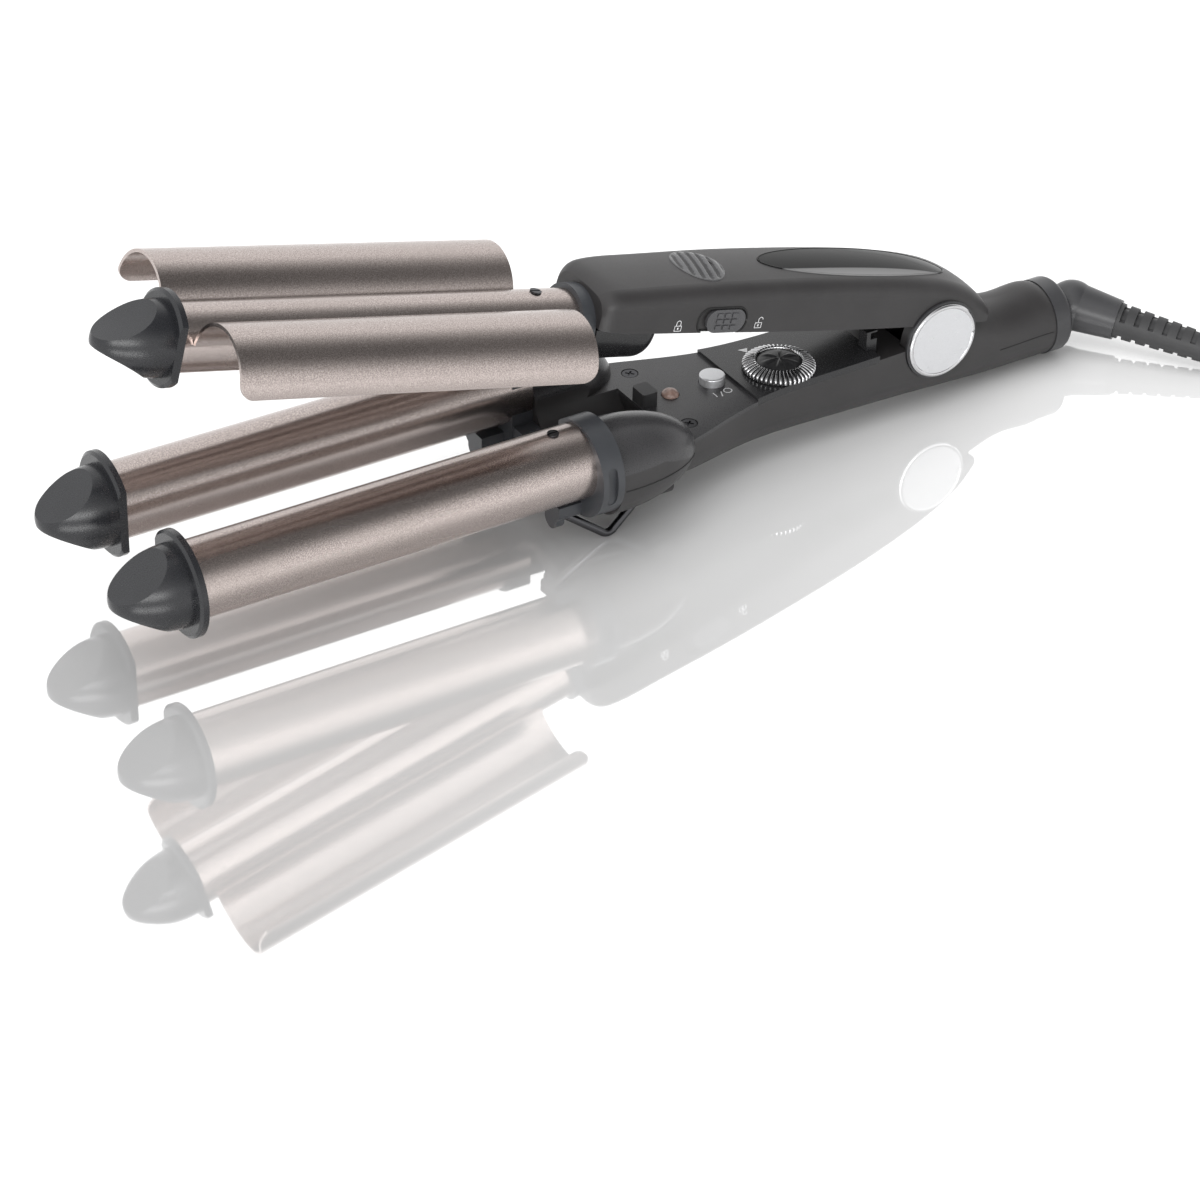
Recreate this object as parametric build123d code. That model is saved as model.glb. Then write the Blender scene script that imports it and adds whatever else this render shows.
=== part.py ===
from build123d import *
import math
import os

# Triple-barrel hair waver, all sizes in millimetres.
#
# Tool frame, used by every function below: X runs along the lower barrels from
# their front flanges towards the cord, Y to the user's left, Z up, with Z = 0 on
# the lower barrels' axes. The upper arm is drawn closed in that frame and swung
# open about the hinge when it is placed. The part frame has its origin on the
# table, under the middle of the tool without its cord.

# barrels
BARREL_LENGTH = 123.0
LOWER_R = 11.0
UPPER_R = 9.5
BARREL_WALL = 1.0
BARREL_Y = 22.7
TIP_LENGTH = 21.8
FLANGE_T = 2.4
SCOOP_R = 40.0
NOSE_HALF = 1.6
UPPER_FLAT = 10.6
LOWER_FLAT = 10.95
PLATE_T = 1.0
PLATE_R = 12.7
PLATE_X = (3.2, 114.9)

# placing
AXIS_HEIGHT = 28.4
X_MIDDLE = 154.8
HINGE_X = 256.5
HINGE_Z = -4.4
OPEN_ANGLE = 13.9

# lower arm
DECK_Z = -4.3
PANEL_Z = -3.3
SEAM_Z = -5.6
REAR_DECK_Z = -4.8
WALL = 2.0
PANEL_X = (189.0, 234.0)
POD_Z = -4.8
POD_X = 134.0
POD_LENGTH = 27.5
POD_R = 13.9
COLLAR_X = (123.0, 130.0)
COLLAR_R = 14.5
COLLAR_Z = -2.5
TAIL_Z = -16.7
TAIL_END = 303.0

# upper arm
ARM_WALL = 1.8
ARM_FRONT = 130.5
RING_X = (126.5, 130.5)
BOSS_R = 10.8
BOSS_END = 156.0

# controls
BUTTON_X = 183.5
BUTTON_R = 3.85
BUTTON_TRAVEL = 1.2
LED_X = 169.0
DIAL_X = 204.0
DIAL_Y = -4.5
DIAL_R = 11.0
SLIDER_X = 172.4
SLIDER_Z = 5.5
SLIDER_TRAVEL = 2.4
DECK_SCREW = (165.2, 16.0)

# hinge
PIN_R = 2.5
CHEEK_R = 11.8
CHEEK_Y = (9.2, 12.7)
CAP_R = 12.6
CAP_Y = (12.95, 13.8)

# fold-out wire feet
WIRE_R = 1.3
FOOT_Y = 21.5
FOOT_Z = -17.6
FOOT_SPLAY = 12.0

# swivel and cord
SWIVEL_X = 317.5
SLEEVE_TURN = 53.0
SLEEVE_DROP = 7.18
NECK_END = 15.0
SLEEVE_END = 44.0
CORD_R = 3.5
COIL_R = (24.5, 52.5)
COIL_STEP_R = 45.5
COIL_LOW = 13.9
COIL_H = 20.8
COIL_CENTRE = (430.4, -16.0)

RUN = 0.05
GAP = 0.3

os.makedirs("parts", exist_ok=True)


# ---------------------------------------------------------------- helpers

def rod_x(radius, x0, x1, y=0.0, z=0.0):
    return Pos((x0 + x1) / 2, y, z) * Rot(0, 90, 0) * Cylinder(radius, x1 - x0)


def rod_y(radius, y0, y1, x, z):
    return Pos(x, (y0 + y1) / 2, z) * Rot(90, 0, 0) * Cylinder(radius, y1 - y0)


def rod_z(radius, z0, z1, x, y):
    return Pos(x, y, (z0 + z1) / 2) * Cylinder(radius, z1 - z0)


def block(x0, x1, y0, y1, z0, z1):
    centre = Pos((x0 + x1) / 2, (y0 + y1) / 2, (z0 + z1) / 2)
    return centre * Box(x1 - x0, y1 - y0, z1 - z0)


def side_prism(points, y0, y1):
    """A solid from an outline in X and Z, between two values of Y."""
    outline = make_face(Polyline([(x, -z) for x, z in points], close=True))
    placed = Pos(0, y0, 0) * Rot(-90, 0, 0) * outline
    return extrude(placed, amount=y1 - y0, dir=(0, 1, 0))


def turned(points, y=0.0, z=0.0):
    """A body of revolution about a line along X, from (x, radius) points."""
    face = make_face(Polyline(points, close=True))
    return Pos(0, y, z) * revolve(face, Axis.X)


def both(make):
    """The two mirror-image solids of a pair, near side first."""
    return [make(-1), make(1)]


def join(shapes):
    total = shapes[0]
    for shape in shapes[1:]:
        total = total + shape
    return total


def placed_lower(shape):
    return Pos(-X_MIDDLE, 0, AXIS_HEIGHT) * shape


def placed_upper(shape):
    swing = Pos(HINGE_X, 0, HINGE_Z) * Rot(0, OPEN_ANGLE, 0) * Pos(-HINGE_X, 0, -HINGE_Z)
    return placed_lower(swing * shape)


def save(name, shape):
    export_step(shape, f"parts/{name}.step")
    box = shape.bounding_box()
    low = [round(v, 2) for v in box.min]
    high = [round(v, 2) for v in box.max]
    print(name, len(shape.solids()), round(shape.volume / 1000, 3), low, high)


# ---------------------------------------------------------------- barrels

def tip(radius, flange_r, dome_r, side_y=0.0):
    """Cool plastic tip: a spigot in the barrel, a flange and a nose scooped above and below.

    Flats on the flanges let the upper one pass down between the lower two."""
    spigot_r = radius - BARREL_WALL - RUN
    base = [(-FLANGE_T - 0.2, 0), (-FLANGE_T - 0.2, dome_r - 0.4), (-FLANGE_T, dome_r - 0.4),
            (-FLANGE_T, flange_r - 0.9), (-FLANGE_T + 0.7, flange_r), (0, flange_r),
            (0, spigot_r), (8, spigot_r), (8, spigot_r - 2), (1, spigot_r - 2), (1, 0)]
    body = revolve(make_face(Polyline(base, close=True)), Axis.X)
    nose = scale(Rot(0, 90, 0) * Sphere(1), by=(TIP_LENGTH - FLANGE_T, dome_r, dome_r))
    nose = Pos(-FLANGE_T, 0, 0) * nose
    nose = nose & block(-TIP_LENGTH - 1, -FLANGE_T, -20, 20, -20, 20)
    for side in (-1, 1):
        slope = math.atan2(dome_r * 0.95 - NOSE_HALF, TIP_LENGTH - 6.5)
        middle_x = -(TIP_LENGTH + 5.5) / 2
        middle_z = (dome_r * 0.95 + NOSE_HALF) / 2
        centre_x = middle_x - (SCOOP_R - 1.0) * math.sin(slope)
        centre_z = middle_z + (SCOOP_R - 1.0) * math.cos(slope)
        nose = nose - rod_y(SCOOP_R, -20, 20, centre_x, side * centre_z)
    placed = Pos(0, side_y, 0) * (body + nose)
    if side_y:
        return placed - block(-FLANGE_T, 0, -LOWER_FLAT, LOWER_FLAT, -20, 20)
    for y0, y1 in ((UPPER_FLAT, 20), (-20, -UPPER_FLAT)):
        placed = placed - block(-FLANGE_T, 0, y0, y1, -20, 20)
    return placed


def barrel(radius, x_end, side_y=0.0):
    tube = rod_x(radius, 0, x_end, side_y) - rod_x(radius - BARREL_WALL, -1, x_end + 1, side_y)
    return tube - barrel_screw_hole(radius, side_y)


def barrel_screw_hole(radius, side_y):
    return rod_z(0.9, radius - 3.2, radius + 1, 115, side_y)


def barrel_screw(radius, side_y):
    """Small countersunk screw that holds the barrel to its holder."""
    head = rod_z(1.7, radius, radius + 0.45, 115, side_y)
    slot = block(113, 117, side_y - 0.25, side_y + 0.25, radius + 0.2, radius + 1)
    return head - slot + rod_z(0.9, radius - 3.2, radius, 115, side_y)


def holder(radius, neck_r, side_y=0.0):
    """Heat-resistant sleeve that carries the barrel's rear end in the casing."""
    spigot = rod_x(radius - BARREL_WALL - RUN, 108, COLLAR_X[1] - 0.2, side_y)
    neck = rod_x(neck_r, COLLAR_X[1] - 0.2, 142, side_y)
    bore = rod_x(4.0, 107, 143, side_y)
    return spigot + neck - bore - barrel_screw_hole(radius, side_y)


def heat_spreader(radius, side_y=0.0):
    """Aluminium core with a flat slot that grips the ceramic heater."""
    core = rod_x(radius - BARREL_WALL - RUN, 18, 96, side_y)
    core = core - rod_x(radius - BARREL_WALL - RUN - 0.8, 17, 97, side_y)
    arms = block(18, 96, side_y - 5.6, side_y + 5.6, -2.1, 2.1)
    for side in (-1, 1):
        z0, z1 = sorted((side * 2.0, side * (radius - 1.4)))
        arms = arms + block(18, 96, side_y - 0.8, side_y + 0.8, z0, z1)
    core = core + arms
    return core - block(17, 97, side_y - 5.05, side_y + 5.05, -1.25, 1.25)


def ceramic_heater(side_y=0.0):
    return block(24, 90, side_y - 5, side_y + 5, -1.2, 1.2)


# ---------------------------------------------------------------- lower arm

def handle_section(x, half, low, high, corner):
    plane = Plane(origin=(x, 0, (low + high) / 2), x_dir=(0, 1, 0), z_dir=(1, 0, 0))
    return plane * RectangleRounded(2 * half, high - low, corner)


# x, half width, underside, top, corner radius
HANDLE = (
    (COLLAR_X[1], 27.0, -16.4, 6.0, 8.0),
    (147.0, 27.0, -17.0, 6.0, 8.5),
    (162.0, 24.2, -18.6, 6.0, 8.5),
    (176.0, 19.7, -20.2, 6.0, 8.5),
    (190.0, 16.0, -21.4, 6.0, 8.5),
    (204.0, 14.5, -22.2, 6.0, 8.5),
    (225.0, 14.1, -22.9, 6.0, 8.5),
    (246.0, 13.3, -24.0, 5.0, 8.5),
    (262.0, 12.5, -25.4, 2.0, 8.8),
    (277.0, 12.0, -26.9, -3.2, 10.0),
    (290.0, 11.5, -27.8, -5.0, 11.0),
    (TAIL_END, 11.3, -28.0, -5.4, 11.1),
)


def handle_loft(inset):
    sections = []
    for x, half, low, high, corner in HANDLE:
        sections.append(handle_section(x, half - inset, low + inset, high - inset,
                                       corner - inset))
    return loft(sections)


def pod(side, inset):
    """Rounded fairing behind a lower barrel: half of a long ellipsoid."""
    size = (POD_LENGTH - inset, POD_R - inset, POD_R - inset)
    egg = scale(Rot(0, 90, 0) * Sphere(1), by=size)
    placed = Pos(POD_X, side * BARREL_Y, POD_Z) * egg
    return placed & block(COLLAR_X[1], 180, -50, 50, -40, 30)


def above_deck():
    """Everything over the deck, over the raised dial panel and behind the hinge."""
    points = [(120, DECK_Z), (PANEL_X[0], DECK_Z), (PANEL_X[0], PANEL_Z),
              (PANEL_X[1], PANEL_Z), (PANEL_X[1], REAR_DECK_Z), (279, REAR_DECK_Z),
              (279, 20), (120, 20)]
    return side_prism(points, -50, 50)


def foot_lug(x0, x1, side):
    """Round lug with the hole that a wire foot's end turns in."""
    lug = rod_x(3.1, x0, x1, side * FOOT_Y, FOOT_Z)
    web = block(x0, x1, side * FOOT_Y - 3.1, side * FOOT_Y + 3.1, FOOT_Z, FOOT_Z + 4.5)
    return lug + web


def foot_hole(side):
    return rod_x(WIRE_R + RUN, 115.9, 160, side * FOOT_Y, FOOT_Z)


def foot_groove(side):
    """Room for the wire along its axis, between its two lugs."""
    return rod_x(WIRE_R + 0.4, 118.2, 149.6, side * FOOT_Y, FOOT_Z)


def upper_arm_room():
    """Space that the closed upper arm, its round boss and its ring need."""
    room = block(120, 178, -14.95, 14.95, 0.5, 30)
    room = room + rod_x(BOSS_R + 0.5, 120, BOSS_END + 1.5)
    return room


def lower_outer():
    body = handle_loft(0) - above_deck()
    for side in (-1, 1):
        body = body + pod(side, 0)
        body = body + foot_lug(149.6, 155.0, side) - foot_groove(side)
    return body - upper_arm_room()


def lower_cavity():
    room = handle_loft(WALL) - block(100, 320, -50, 50, SEAM_Z, 30)
    room = room - block(PANEL_X[1] + 1.5, 279, -50, 50, REAR_DECK_Z - 2, 30)
    room = room - block(100, 136, -50, 50, -40, 30)
    for side in (-1, 1):
        hollow = pod(side, WALL) - block(100, 134.5, -50, 50, -40, 30)
        room = room + hollow
    room = room - rod_x(BOSS_R + 2.4, 100, BOSS_END + 3.4)
    room = room - block(100, 180, -16.8, 16.8, SEAM_Z, 30)
    tail_room = rod_x(9.2, 286.5, TAIL_END + 1, 0, TAIL_Z)
    return room + Pos(0, 0, TAIL_Z) * Rot(90, 0, 0) * Pos(0, 0, -TAIL_Z) * tail_room


def holder_holes():
    return join(both(lambda side: rod_x(6.45, 130, 142.5, side * BARREL_Y)))


def hinge_recess():
    """Round pockets in the lower casing for the upper arm's cheeks and the caps."""
    cuts = []
    for side in (-1, 1):
        y0, y1 = sorted((side * (CHEEK_Y[0] - GAP), side * 20))
        cuts.append(rod_y(CHEEK_R + 0.4, y0, y1, HINGE_X, HINGE_Z))
        y0, y1 = sorted((side * (CAP_Y[0] - 0.1), side * 20))
        cuts.append(rod_y(CAP_R + GAP, y0, y1, HINGE_X, HINGE_Z))
    return join(cuts)


def hinge_knuckles():
    """Two posts from the lower casing's floor that carry the hinge pin."""
    knuckles = []
    for side in (-1, 1):
        y0, y1 = sorted((side * 5.5, side * 8.9))
        boss = rod_y(5.2, y0, y1, HINGE_X, HINGE_Z)
        post = block(HINGE_X - 5.2, HINGE_X + 5.2, y0, y1, -22.6, HINGE_Z)
        knuckles.append(boss + post)
    return join(knuckles) - rod_y(PIN_R, -10, 10, HINGE_X, HINGE_Z)


def screw_posts():
    x, y = DECK_SCREW
    posts = []
    for side in (-1, 1):
        post = rod_z(2.8, -17.6, SEAM_Z, x, side * y)
        posts.append(post - rod_z(1.3, -13, SEAM_Z + 1, x, side * y))
    return join(posts)


def top_cover_tool():
    """The part of the casing that lies over the seam, back to the hinge."""
    points = [(120, -0.6), (145, -0.8), (158, SEAM_Z), (PANEL_X[1], SEAM_Z),
              (PANEL_X[1], 30), (120, 30)]
    return side_prism(points, -50, 50)


def tail_cover_tool():
    return block(281, TAIL_END + 1, -30, 30, TAIL_Z + 0.6, 30)


def lower_casing():
    """The lower shell, the deck cover, the dial panel and the tail cover."""
    outer = lower_outer()
    walls = outer - lower_cavity() - holder_holes() - hinge_recess()
    walls = walls - join(both(foot_hole))
    walls = walls - block(246, 267, -8.9, 8.9, -10, 5)
    cover = walls & top_cover_tool()
    cover = cover - block(231.5, 236, -9.9, -5.3, -8, 5)
    panel = cover & block(PANEL_X[0], PANEL_X[1], -50, 50, -40, 40)
    deck = cover - block(PANEL_X[0], PANEL_X[1], -50, 50, -40, 40)
    tail = walls & tail_cover_tool()
    shell = walls - top_cover_tool() - tail_cover_tool() - keeper_post()
    shell = shell + hinge_knuckles() + screw_posts()
    shell = shell - rod_y(PIN_R, -10, 10, HINGE_X, HINGE_Z)
    return shell, finished_deck(deck), finished_panel(panel), tail


def finished_deck(deck):
    """Holes for the screws, the lamp, the button and the catch block."""
    x, y = DECK_SCREW
    for side in (-1, 1):
        deck = deck - rod_z(2.6, DECK_Z - 0.7, 2, x, side * y)
        deck = deck - rod_z(1.3, SEAM_Z - 1, 2, x, side * y)
    deck = deck - rod_z(2.75, SEAM_Z - 1, 2, LED_X, 0)
    return deck - rod_z(BUTTON_R + 0.15, SEAM_Z - 1, 2, BUTTON_X, 0)


def finished_panel(panel):
    return panel - rod_z(3.5, SEAM_Z - 1, 2, DIAL_X, DIAL_Y)


def collar(side):
    """Eccentric collar at a lower barrel's base, with a lug for its wire foot."""
    y = side * (BARREL_Y + 0.2)
    ring = rod_x(COLLAR_R, COLLAR_X[0], COLLAR_X[1], y, COLLAR_Z)
    toe = block(115.4, COLLAR_X[0] + 1, side * FOOT_Y - 4.6, side * FOOT_Y + 4.6, -17.0, -12.2)
    toe = fillet(toe.edges().filter_by(Axis.X).group_by(Axis.Z)[0], 2.0)
    ring = ring + toe + foot_lug(115.4, 118.2, side)
    ring = ring - rod_x(LOWER_R, 100, 140, side * BARREL_Y)
    ring = ring - block(100, 140, -12.6, 12.6, -40, 40)
    ring = ring - foot_hole(side) - foot_groove(side)
    grip = block(124.8, 127.8, -45, 45, -8.6, 3.4) - block(120, 140, -35.9, 35.9, -30, 30)
    return ring - fillet(grip.edges().filter_by(Axis.Y), 1.4)


def collar_bridge():
    """Saddle under the closed upper barrel that ties the two collars together."""
    saddle = block(123.5, COLLAR_X[1], -12.6, 12.6, -15.6, -8.2)
    return saddle - rod_x(BOSS_R + 0.6, 100, 140)


def catch_block():
    """Rubber block on the deck that the closed upper arm rests on."""
    pad = block(157.7, 162.7, -3.3, 3.3, DECK_Z, 0.3)
    return fillet(pad.edges().filter_by(Axis.Z), 0.8)


def indicator_lamp():
    dome = Pos(LED_X, 0, DECK_Z) * scale(Sphere(2.6), by=(1, 1, 0.7))
    dome = dome & block(160, 180, -5, 5, DECK_Z, 5)
    return dome + rod_z(2.6, SEAM_Z - 3, DECK_Z, LED_X, 0)


def deck_screws():
    x, y = DECK_SCREW
    screws = []
    for side in (-1, 1):
        head = rod_z(2.3, DECK_Z - 0.7, DECK_Z - 0.1, x, side * y)
        for turn in (0, 90):
            cross = Pos(x, side * y, DECK_Z) * Rot(0, 0, 45 + turn) * Box(2.8, 0.6, 1.0)
            head = head - cross
        screws.append(head + rod_z(1.3, -13, DECK_Z - 0.7, x, side * y))
    return Compound(children=screws)


def lower_barrel_screws():
    return Compound(children=both(lambda side: barrel_screw(LOWER_R, side * BARREL_Y)))


def circuit_board():
    board = block(171, 231, -10, 10, -14.0, -12.6)
    chip = block(188, 196, -3, 4, -12.6, -11.0)
    relay = block(216, 228, -7, 6, -12.6, -8.0)
    capacitor = rod_z(3.0, -12.6, -8.2, 175.5, -6)
    return board + chip + relay + capacitor


def power_switch():
    return block(BUTTON_X - 3, BUTTON_X + 3, -3, 3, -12.6, -10.3)


def potentiometer():
    body = rod_z(5.4, -12.6, -7.4, DIAL_X, DIAL_Y)
    return body - rod_z(3.0 + RUN, -11.6, 0, DIAL_X, DIAL_Y)


def thermal_fuse():
    return rod_x(2.0, 142.5, 153, BARREL_Y, -4)


def thermistor():
    return rod_x(1.4, 96, 101, -BARREL_Y, 3)


# ---------------------------------------------------------------- hinge

def hinge_caps():
    caps = []
    for side in (-1, 1):
        y0, y1 = sorted((side * CAP_Y[0], side * CAP_Y[1]))
        caps.append(rod_y(CAP_R, y0, y1, HINGE_X, HINGE_Z))
    return Compound(children=caps)


def hinge_discs():
    discs = []
    for side in (-1, 1):
        outer = side * (CAP_Y[1] + 0.75)
        y0, y1 = sorted((side * CAP_Y[1], outer))
        disc = rod_y(11.3, y0, y1, HINGE_X, HINGE_Z)
        rim = disc.edges().filter_by(GeomType.CIRCLE).group_by(Axis.Y)[0 if side < 0 else -1]
        discs.append(fillet(rim, 0.5))
    return Compound(children=discs)


def hinge_pin():
    return rod_y(PIN_R, -CAP_Y[0], CAP_Y[0], HINGE_X, HINGE_Z)


def hinge_spring():
    """Torsion spring round the pin that holds the jaws open."""
    path = Helix(pitch=1.7, height=8.5, radius=3.4)
    start = path @ 0
    wire = Plane(origin=start, z_dir=path % 0) * Circle(0.55)
    coil = sweep(wire, path=path, is_frenet=True)
    return Pos(HINGE_X, 4.25, HINGE_Z) * Rot(90, 0, 0) * coil


def keeper_post():
    return block(231.8, 235.5, -9.6, -5.6, -22.0, 3.0)


def latch_keeper():
    """Post with a notch that the lock's toe slides into when the jaws are shut."""
    return keeper_post() - block(233.2, 236, -12, -5, 0.3, 2.5)


# ---------------------------------------------------------------- upper arm

# x, half width, lower edge, height of the shoulder
ARM = (
    (ARM_FRONT, 12.0, 3.0, 11.6),
    (132.3, 13.4, 2.9, 13.3),
    (137.0, 14.4, 2.7, 14.4),
    (150.0, 14.6, 2.3, 15.1),
    (175.0, 14.6, 1.7, 15.9),
    (200.0, 14.4, 1.0, 16.1),
    (225.0, 14.0, 0.5, 15.7),
    (242.0, 13.4, 0.2, 14.8),
    (254.0, 12.9, 0.1, 13.4),
    (264.0, 12.5, 0.1, 11.0),
    (270.5, 12.1, 0.1, 8.0),
    (274.5, 11.4, 0.1, 4.4),
)
CROWN = math.radians(8)


def arm_section(x, half, low, shoulder, inset):
    """Flat sides, round shoulders and a slightly crowned top."""
    half = half - inset
    top = shoulder - inset
    bottom = low - inset
    r = min(5.0 - 0.6 * inset, 0.7 * (shoulder - low))
    mid = (math.pi / 2 - CROWN) / 2
    cx = half - r
    cz = top - r

    def on_corner(angle, side):
        return (side * (cx + r * math.cos(angle)), cz + r * math.sin(angle))

    end = math.pi / 2 - CROWN
    left_end = on_corner(end, -1)
    right_end = on_corner(end, 1)
    rise = right_end[0] * math.tan(CROWN / 2)
    outline = Line((-half, bottom), (-half, cz))
    outline += ThreePointArc((-half, cz), on_corner(mid, -1), left_end)
    outline += ThreePointArc(left_end, (0, left_end[1] + rise), right_end)
    outline += ThreePointArc(right_end, on_corner(mid, 1), (half, cz))
    outline += Line((half, cz), (half, bottom))
    outline += Line((half, bottom), (-half, bottom))
    plane = Plane(origin=(x, 0, 0), x_dir=(0, 1, 0), z_dir=(1, 0, 0))
    return plane * make_face(outline)


def arm_loft(inset):
    sections = []
    for x, half, low, shoulder in ARM:
        shifted = x
        if x == ARM[0][0]:
            shifted = x + inset
        if x == ARM[-1][0]:
            shifted = x - 0.5 * inset
        if inset and x == ARM[1][0]:
            continue
        sections.append(arm_section(shifted, half, low, shoulder, inset))
    return loft(sections)


def oval_prism(x, y, half_x, half_y):
    return extrude(Pos(x, y, 0) * Ellipse(half_x, half_y), amount=40)


def lock_pocket():
    """Shallow oval pocket in the near side, with the slot that the lock runs in."""
    plane = Plane(origin=(SLIDER_X - SLIDER_TRAVEL / 2, -13.6, SLIDER_Z),
                  x_dir=(1, 0, 0), z_dir=(0, -1, 0))
    pocket = extrude(plane * RectangleRounded(14.2 + SLIDER_TRAVEL, 8.0, 3.6), amount=5)
    slot = block(SLIDER_X - 3 - SLIDER_TRAVEL - GAP, SLIDER_X + 3 + GAP, -15, -11,
                 SLIDER_Z - 1.3, SLIDER_Z + 1.3)
    return pocket + slot


def upper_screw_places():
    return [(162, -9.5), (162, 9.5), (220, -6.0), (220, 6.0)]


def upper_shell_and_trim():
    """The upper casing, its glossy name plate and its ribbed inset."""
    outer = arm_loft(0)
    shell = outer - arm_loft(ARM_WALL)
    shell = shell - rod_x(UPPER_R, 120, 140)
    for side in (-1, 1):
        y0, y1 = sorted((side * CHEEK_Y[0], side * CHEEK_Y[1]))
        shell = shell + rod_y(CHEEK_R, y0, y1, HINGE_X, HINGE_Z)
        y0, y1 = sorted((side * (CAP_Y[0] - 0.1), side * 20))
        shell = shell - rod_y(CAP_R + GAP, y0, y1, HINGE_X, HINGE_Z)
    shell = shell - rod_y(PIN_R + RUN, -20, 20, HINGE_X, HINGE_Z)
    for x, y in upper_screw_places():
        post = rod_z(2.6, 4.2, 14.6, x, y) - rod_z(1.2, 0, 10, x, y)
        shell = shell + post
    shell = shell - lock_pocket()

    plate_floor = Pos(0, 0, -0.9) * outer
    plate = ((Pos(0, 0, 0.15) * outer) & oval_prism(226, 0, 34.5, 9.0)) - plate_floor
    inset = (outer & oval_prism(169, 0, 5.2, 9.8)) - plate_floor
    for x, y, half_x, half_y in ((226, 0, 34.6, 9.1), (169, 0, 5.3, 9.9)):
        shell = shell - (oval_prism(x, y, half_x, half_y) - plate_floor)
    return shell, plate, ribbed(inset)


def ribbed(inset):
    """Three shallow waves across the oval inset."""
    for number in (-1, 0, 1):
        x = 169 + 2.5 * number
        groove = Pos(x + 1.25, 0, 18.0) * Rot(0, 0, 8) * Box(0.8, 11 - abs(number) * 2, 3.0)
        inset = inset - (groove & (Pos(0, 0, 0.5) * arm_loft(0)) - (Pos(0, 0, -0.45) * arm_loft(0)))
    return inset


def upper_liner():
    """Plate that closes the arm's underside, with the round boss at its front."""
    points = []
    for x, half, low, shoulder in ARM[2:7]:
        points.append((x, low + 0.4))
    front = points[0]
    points = [(ARM_FRONT + 2.2, front[1])] + points
    top = [(x, z + 1.7) for x, z in reversed(points)]
    slab = side_prism(points + top, -20, 20) & arm_loft(ARM_WALL + 0.05)
    boss = rod_x(BOSS_R, ARM_FRONT + 0.6, BOSS_END - 7)
    end = Pos(BOSS_END - 7, 0, 0) * scale(Sphere(BOSS_R), by=(7 / BOSS_R, 1, 1))
    boss = (boss + end) & block(100, 170, -20, 20, -20, 2.6)
    boss = boss - block(100, ARM_FRONT + 2.2, -20, 20, 2.0, 20)
    liner = slab + boss - rod_x(7.55, 120, 142.5)
    liner = liner - rod_x(UPPER_R, 120, COLLAR_X[1] + 0.3)
    for x, y in upper_screw_places():
        liner = liner - rod_z(1.25, -2, 8, x, y) - rod_z(2.3, -2, 1.9, x, y)
    return liner


def upper_screws():
    screws = []
    for x, y in upper_screw_places():
        low = 1.9 if x < 200 else 1.2
        head = rod_z(2.1, low - 1.0, low, x, y)
        screws.append(head + rod_z(1.2, low, 10, x, y))
    screws.append(barrel_screw(UPPER_R, 0))
    return Compound(children=screws)


def upper_ring():
    return rod_x(11.0, *RING_X) - rod_x(UPPER_R, 120, 140)


def curved_plate(side):
    """Thin curved sheet over one lower barrel, brazed to the upper barrel's flank."""
    x0, x1 = PLATE_X
    y = side * BARREL_Y
    sheet = rod_x(PLATE_R + PLATE_T, x0, x1, y) - rod_x(PLATE_R, 0, 130, y)
    sheet = sheet - block(0, 130, y - 20, y + 20, -20, -0.65)
    y0, y1 = sorted((side * 5, side * 13))
    sheet = sheet - block(0, 130, y0, y1, -5, 2.3)
    sheet = sheet - rod_x(UPPER_R, -1, 130)
    for x, inward in ((x0, 1), (x1, -1)):
        r = 4.5
        corner = block(min(x, x + inward * r), max(x, x + inward * r), -50, 50, -0.65, -0.65 + r)
        corner = corner - rod_y(r, -60, 60, x + inward * r, -0.65 + r)
        corner = corner & block(-5, 130, *sorted((side * 30, side * 60)), -5, 20)
        sheet = sheet - corner
    return sheet


# ---------------------------------------------------------------- controls

def lock_slider():
    """Thumb pad, the bar behind it and the toe that grips the keeper."""
    plane = Plane(origin=(SLIDER_X, -13.8, SLIDER_Z), x_dir=(1, 0, 0), z_dir=(0, -1, 0))
    pad = extrude(plane * RectangleRounded(13.4, 7.2, 3.4), amount=1.1)
    for column in (-1, 0, 1):
        for row in (-1, 0, 1):
            x = SLIDER_X + 2.6 * column
            z = SLIDER_Z + 1.9 * row
            pad = pad + block(x - 0.95, x + 0.95, -15.3, -14.8, z - 0.65, z + 0.65)
    stem = block(SLIDER_X - 3, SLIDER_X + 3, -13.9, -11.2, SLIDER_Z - 1, SLIDER_Z + 1)
    bar = block(SLIDER_X - 3, 240.2, -11.3, -9.7, SLIDER_Z - 1, SLIDER_Z + 1)
    drop = block(238.4, 240.2, -11.3, -6.0, 0.8, SLIDER_Z + 1)
    toe = block(236.0, 240.2, -9.2, -6.0, 0.8, 2.0)
    return pad + stem + bar + drop + toe


def power_button():
    cap = rod_z(BUTTON_R, SEAM_Z - 0.6, -1.7, BUTTON_X, 0)
    cap = fillet(cap.edges().group_by(Axis.Z)[-1], 0.5)
    flange = rod_z(5.0, -7.2, SEAM_Z - 0.3, BUTTON_X, 0)
    stem = rod_z(1.6, -8.9, -7.2, BUTTON_X, 0)
    return cap + flange + stem


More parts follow.
